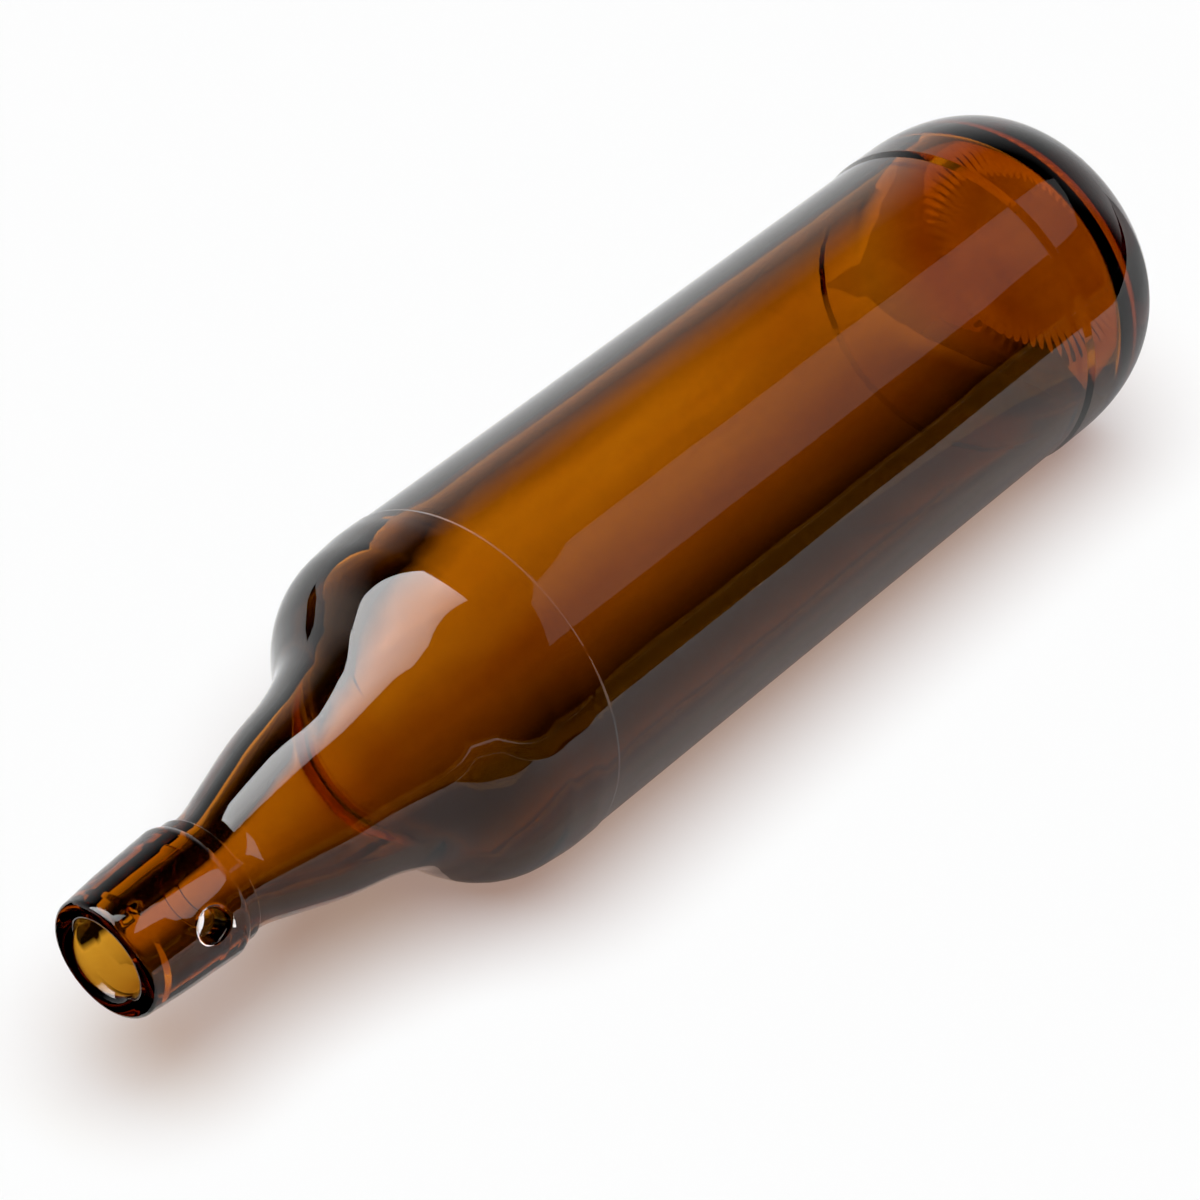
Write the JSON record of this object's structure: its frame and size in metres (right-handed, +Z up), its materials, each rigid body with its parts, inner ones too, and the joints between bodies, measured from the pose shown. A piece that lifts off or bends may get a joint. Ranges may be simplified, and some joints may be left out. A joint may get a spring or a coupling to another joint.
{
  "type": "swing top beer bottle",
  "caption": "Empty amber glass beer bottle for a swing top closure, lying on its side, with a dimpled collar, swelling neck, domed shoulder and sunk label panel.",
  "frame": {"origin": "under the middle of the lying bottle, on the surface it lies on", "axes": "+X from the mouth to the base, +Z up"},
  "size_m": [0.298, 0.078, 0.0777],
  "materials": {
    "amber_glass": "gloss"
  },
  "bodies": {
    "root": {"bottle": "amber_glass"}
  },
  "joints": []
}
